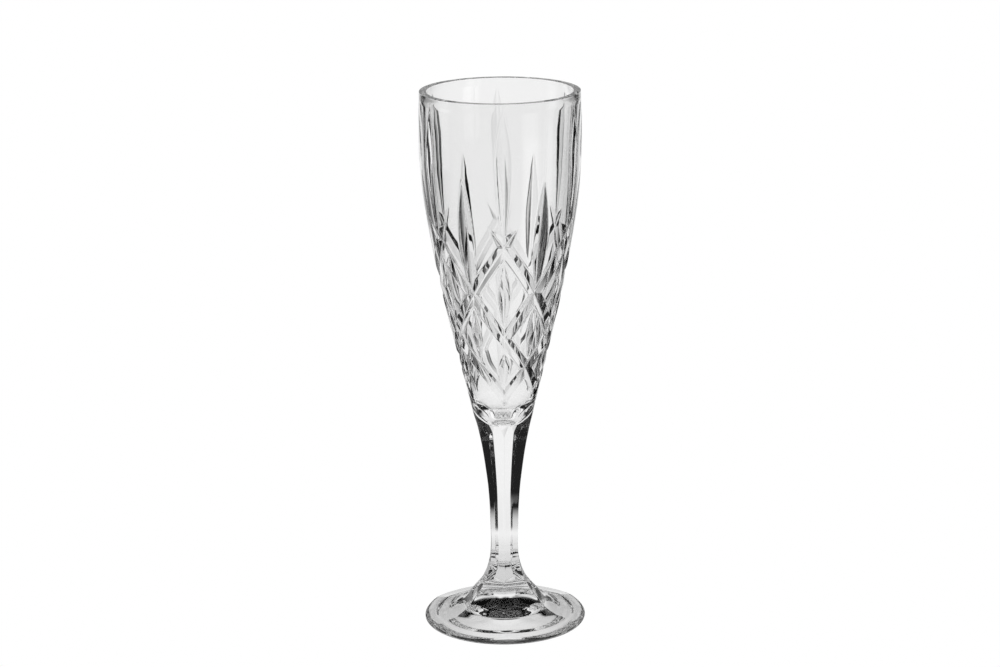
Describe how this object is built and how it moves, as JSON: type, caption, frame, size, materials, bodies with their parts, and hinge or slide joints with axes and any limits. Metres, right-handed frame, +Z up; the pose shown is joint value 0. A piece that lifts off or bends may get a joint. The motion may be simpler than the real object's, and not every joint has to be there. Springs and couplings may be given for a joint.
{
  "type": "champagne flute",
  "caption": "Tall cut-crystal flute: tapering bowl with diamond and leaf cuts, six-sided stem and flared round foot.",
  "frame": {"origin": "on the axis, in the plane of the foot's resting ring", "axes": "+Z up along the axis, -Y towards the front, where a column of crossings and an upright cut are"},
  "size_m": [0.0672, 0.0672, 0.225],
  "materials": {
    "bowl_crystal": "fire-polished clear crystal with mitre-cut facets",
    "stem_crystal": "fire-polished clear crystal",
    "foot_crystal": "fire-polished clear crystal"
  },
  "bodies": {
    "root": {"bowl": "bowl_crystal", "stem": "stem_crystal", "foot": "foot_crystal"}
  },
  "joints": []
}
